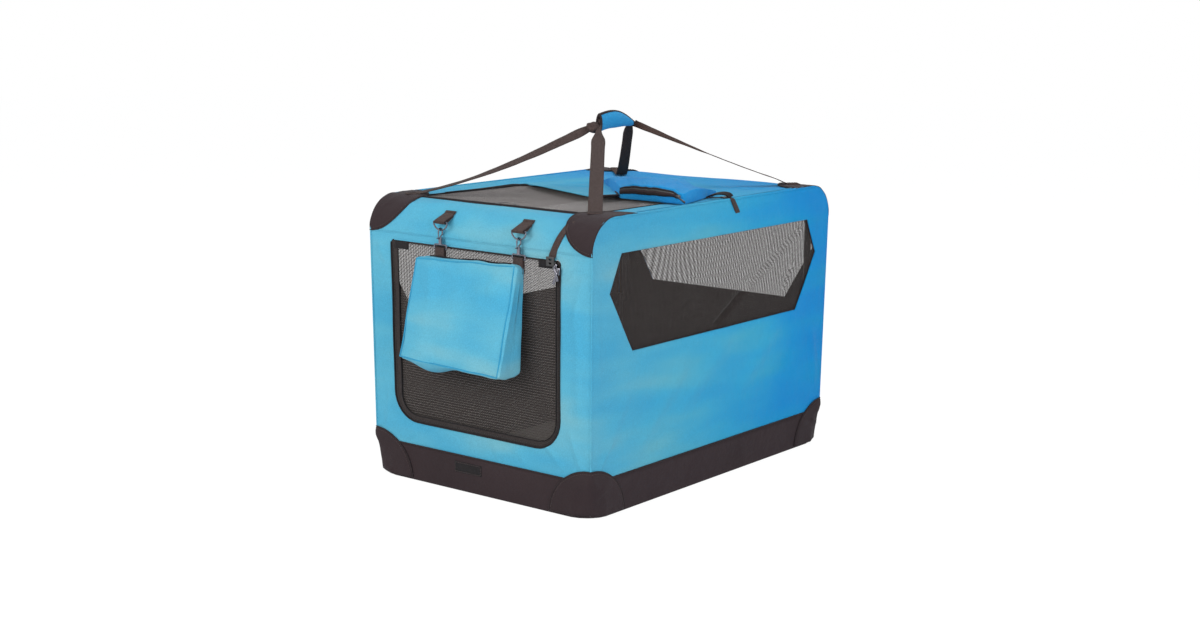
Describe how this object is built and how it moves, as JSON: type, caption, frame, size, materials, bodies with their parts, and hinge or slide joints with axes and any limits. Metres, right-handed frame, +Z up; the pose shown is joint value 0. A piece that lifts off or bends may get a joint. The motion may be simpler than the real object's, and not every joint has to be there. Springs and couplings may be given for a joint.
{
  "type": "soft folding dog crate",
  "caption": "Fabric dog crate on a folding steel frame, with net windows, a zipped front door, a roof hatch, a carrying handle and a clip-on pouch.",
  "frame": {"origin": "centre of the underside, on the surface that the crate stands on", "axes": "+Z up, the door faces -Y, the long side windows face +X and -X"},
  "size_m": [0.6368, 0.9937, 0.8173],
  "materials": {
    "blue_fabric": "woven polyester canvas, bright blue",
    "dark_fabric": "woven polyester, brown black",
    "black_net": "open knitted net, black",
    "webbing": "flat nylon webbing, brown black",
    "fleece": "pale fleece mat",
    "painted_steel": "black powder coated tube",
    "plated_steel": "plated hooks, rings and sliders",
    "black_plastic": "moulded corner joints"
  },
  "bodies": {
    "base": {"base_tray": "dark_fabric", "floor_mat": "fleece", "base_tube_front": "painted_steel", "base_tube_rear": "painted_steel", "base_tube_left": "painted_steel", "base_tube_right": "painted_steel", "corner_joint_front_left": "black_plastic", "corner_joint_front_right": "black_plastic", "corner_joint_rear_left": "black_plastic", "corner_joint_rear_right": "black_plastic", "wall_front": "blue_fabric", "wall_rear": "blue_fabric", "wall_left": "blue_fabric", "wall_right": "blue_fabric", "window_rear": "black_net", "window_left": "black_net", "window_right": "black_net"},
    "front_lower": {"lower_post_front_left": "painted_steel", "lower_post_front_right": "painted_steel"},
    "front_upper": {"upper_post_front_left": "painted_steel", "upper_post_front_right": "painted_steel"},
    "rear_lower": {"lower_post_rear_left": "painted_steel", "lower_post_rear_right": "painted_steel"},
    "rear_upper": {"upper_post_rear_left": "painted_steel", "upper_post_rear_right": "painted_steel"},
    "top": {"top_rail_left": "painted_steel", "top_rail_right": "painted_steel", "top_cross_front": "painted_steel", "top_cross_rear": "painted_steel", "top_cover": "blue_fabric", "top_patch_front_left": "dark_fabric", "top_patch_front_right": "dark_fabric", "top_patch_rear_left": "dark_fabric", "top_patch_rear_right": "dark_fabric", "cover_flap": "blue_fabric", "roof_pocket": "blue_fabric", "pouch_tab_left": "webbing", "pouch_tab_right": "webbing", "door_tie": "webbing", "side_tie": "webbing", "handle_strap_front_left": "webbing", "handle_strap_front_right": "webbing", "handle_strap_rear_left": "webbing", "handle_strap_rear_right": "webbing", "hatch_net": "black_net"},
    "hatch": {"hatch_hem": "dark_fabric"},
    "handle": {"handle_grip": "blue_fabric"},
    "door": {"door_border": "dark_fabric", "door_net": "black_net"},
    "door_slider": {"door_zip_slider": "plated_steel"},
    "pocket_slider": {"pocket_zip_slider": "plated_steel"},
    "hooks": {"d_ring_left": "plated_steel", "d_ring_right": "plated_steel", "snap_hook_left": "plated_steel", "snap_hook_right": "plated_steel"},
    "gate_left": {"hook_gate_left": "plated_steel"},
    "gate_right": {"hook_gate_right": "plated_steel"},
    "pouch": {"pouch": "blue_fabric"}
  },
  "joints": [
    {"name": "frame_fold", "type": "hinge", "parent": "base", "child": "front_lower", "pos_m": [0, -0.432, 0.0375], "axis": [-1, 0, 0], "range_deg": [0, 85], "deforming": ["wall_front", "wall_rear", "wall_left", "wall_right", "window_rear", "window_left", "window_right", "door_border", "door_net"]},
    {"name": "front_elbow", "type": "hinge", "parent": "front_lower", "child": "front_upper", "pos_m": [0, -0.432, 0.29375], "axis": [-1, 0, 0], "range_deg": [-170, 0]},
    {"name": "top_level", "type": "hinge", "parent": "front_upper", "child": "top", "pos_m": [0, -0.432, 0.55], "axis": [-1, 0, 0], "range_deg": [0, 85]},
    {"name": "rear_fold", "type": "hinge", "parent": "base", "child": "rear_lower", "pos_m": [0, 0.432, 0.0375], "axis": [1, 0, 0], "range_deg": [0, 85]},
    {"name": "rear_elbow", "type": "hinge", "parent": "rear_lower", "child": "rear_upper", "pos_m": [0, 0.432, 0.29375], "axis": [1, 0, 0], "range_deg": [-170, 0]},
    {"name": "door_swing", "type": "hinge", "parent": "base", "child": "door", "pos_m": [0, -0.4543, 0.5457], "axis": [-1, 0, 0], "range_deg": [-75, 0]},
    {"name": "door_zip", "type": "slide", "parent": "door", "child": "door_slider", "axis": [0, 0.0143, 0.9999], "range_m": [-0.26, 0]},
    {"name": "hatch_roll", "type": "slide", "parent": "top", "child": "hatch", "axis": [0, -1, 0], "range_m": [-0.235, 0], "deforming": ["hatch_net"]},
    {"name": "handle_drop", "type": "slide", "parent": "top", "child": "handle", "axis": [0, 0, 1], "range_m": [-0.1, 0], "deforming": ["handle_strap_front_left", "handle_strap_front_right", "handle_strap_rear_left", "handle_strap_rear_right"]},
    {"name": "pocket_zip", "type": "slide", "parent": "top", "child": "pocket_slider", "axis": [1, 0, 0], "range_m": [-0.1, 0]},
    {"name": "hook_swing", "type": "hinge", "parent": "top", "child": "hooks", "pos_m": [0, -0.466, 0.597], "axis": [-1, 0, 0], "range_deg": [0, 60]},
    {"name": "gate_left_slide", "type": "slide", "parent": "hooks", "child": "gate_left", "axis": [0, 0, 1], "range_m": [-0.006, 0], "stiffness_N_per_m": 100},
    {"name": "gate_right_slide", "type": "slide", "parent": "hooks", "child": "gate_right", "axis": [0, 0, 1], "range_m": [-0.006, 0], "stiffness_N_per_m": 100},
    {"name": "pouch_swing", "type": "hinge", "parent": "hooks", "child": "pouch", "pos_m": [0, -0.466, 0.5383], "axis": [-1, 0, 0], "range_deg": [0, 85]}
  ],
  "couplings": [
    {"joint": "front_elbow", "follows": "frame_fold", "ratio": -2},
    {"joint": "top_level", "follows": "frame_fold", "ratio": 1},
    {"joint": "rear_fold", "follows": "frame_fold", "ratio": 1},
    {"joint": "rear_elbow", "follows": "frame_fold", "ratio": -2},
    {"joint": "pouch_swing", "follows": "frame_fold", "ratio": 1}
  ]
}
